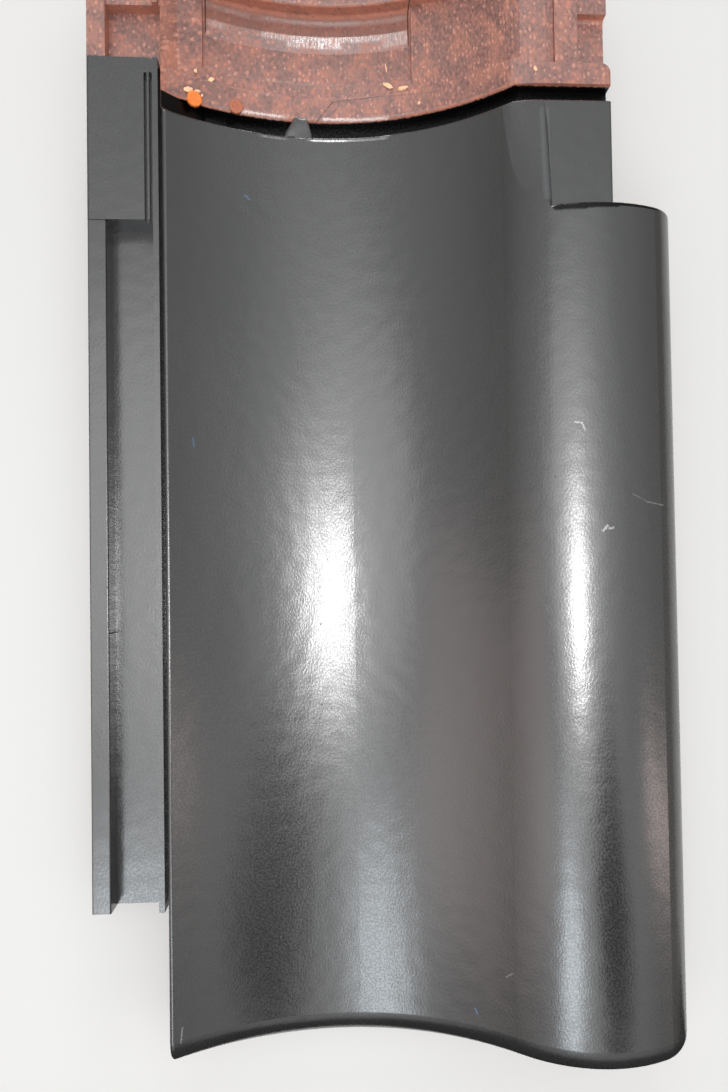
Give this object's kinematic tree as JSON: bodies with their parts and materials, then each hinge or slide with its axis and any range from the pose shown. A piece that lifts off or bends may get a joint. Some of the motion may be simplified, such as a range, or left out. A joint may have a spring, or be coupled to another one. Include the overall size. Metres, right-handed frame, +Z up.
{
  "type": "clay roof tile",
  "caption": "Interlocking S-profile clay pantile with water trough, cover roll, side and head locks and hanging nibs.",
  "frame": {"origin": "middle of the tile's box in plan, on the floor that it lies on face up", "axes": "+Y up the slope from tail to head, +X from the side lock to the roll, +Z up out of the face"},
  "size_m": [0.2276, 0.433, 0.0618],
  "materials": {
    "glazed_clay": "satin anthracite glaze on the face, bare brown fired clay on the head lock and underneath"
  },
  "bodies": {
    "root": {"roof_tile": "glazed_clay"}
  },
  "joints": []
}
